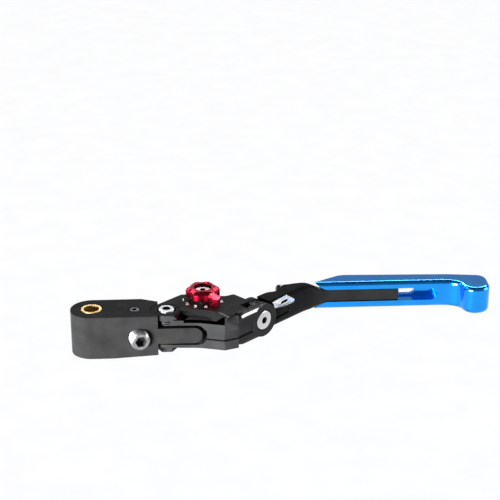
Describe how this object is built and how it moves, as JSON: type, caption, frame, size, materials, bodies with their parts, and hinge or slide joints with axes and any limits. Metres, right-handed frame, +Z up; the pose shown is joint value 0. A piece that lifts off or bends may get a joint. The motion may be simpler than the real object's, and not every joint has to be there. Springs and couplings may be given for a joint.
{
  "type": "clutch lever",
  "caption": "Folding, extending clutch lever with a reach dial: a pivoting base block, a black arm, an upward-folding blade and a sliding blue tip with a rounded bulb end.",
  "frame": {"origin": "on the perch pivot's axis, level with the middle of the arm's height", "axes": "+X along the lever to its tip, +Y to the handlebar grip, which is the way the lever is pulled, +Z up along the perch pivot's axis"},
  "size_m": [0.2283, 0.0588, 0.0298],
  "materials": {
    "satin_black": "satin black anodised aluminium",
    "bright_steel": "bright zinc-plated steel",
    "dark_steel": "black oxide steel",
    "bronze": "sintered bronze",
    "crimson_anodised": "crimson anodised aluminium",
    "blue_anodised": "bright blue anodised aluminium"
  },
  "bodies": {
    "perch_pivot": {"pivot_bush": "bronze"},
    "base": {"lever_base": "satin_black", "adjuster_lock_screw": "dark_steel", "arm_pivot_bush": "bronze", "arm_thrust_washer": "bronze"},
    "adjuster": {"adjuster_screw": "bright_steel"},
    "arm": {"arm_body": "satin_black", "arm_pivot_screw": "bright_steel", "arm_pivot_nut": "bright_steel", "arm_return_spring": "dark_steel", "detent_ball": "bright_steel", "detent_spring": "bright_steel", "fold_bolt": "bright_steel", "fold_nut": "bright_steel", "fold_spring": "bright_steel"},
    "selector": {"selector_knob": "crimson_anodised", "selector_cam": "dark_steel", "selector_screw": "bright_steel", "selector_collar": "bright_steel", "cam_clip": "bright_steel"},
    "blade": {"folding_arm": "satin_black", "fold_bush": "bronze", "fold_stop_pin": "bright_steel", "tip_lock_screw": "bright_steel", "tip_lock_washer": "bright_steel"},
    "tip": {"lever_tip": "blue_anodised"}
  },
  "joints": [
    {"name": "lever_pull", "type": "hinge", "parent": "perch_pivot", "child": "base", "pos_m": [0, 0, 0], "axis": [0, 0, 1], "range_deg": [0, 18], "stiffness_Nm_per_rad": 0.8, "springref_deg": -5.73},
    {"name": "adjuster_travel", "type": "slide", "parent": "base", "child": "adjuster", "axis": [0.2588, -0.9659, 0], "range_m": [-0.003, 0.002]},
    {"name": "reach_adjust", "type": "hinge", "parent": "base", "child": "arm", "pos_m": [0.0394, -0.0022, 0], "axis": [0, 0, 1], "range_deg": [-7.2, 1.8]},
    {"name": "selector_turn", "type": "hinge", "parent": "arm", "child": "selector", "pos_m": [0.059, 0.0106, 0], "axis": [0, 0, 1], "range_deg": [-120, 30]},
    {"name": "fold", "type": "hinge", "parent": "arm", "child": "blade", "pos_m": [0.0915, 0.001, 0], "axis": [0.682, -0.7314, 0], "range_deg": [0, 60], "stiffness_Nm_per_rad": 0.15, "springref_deg": -11.46},
    {"name": "tip_extend", "type": "slide", "parent": "blade", "child": "tip", "axis": [1, 0, 0], "range_m": [0, 0.02]}
  ],
  "couplings": [
    {"joint": "selector_turn", "follows": "reach_adjust", "ratio": 16.667}
  ]
}
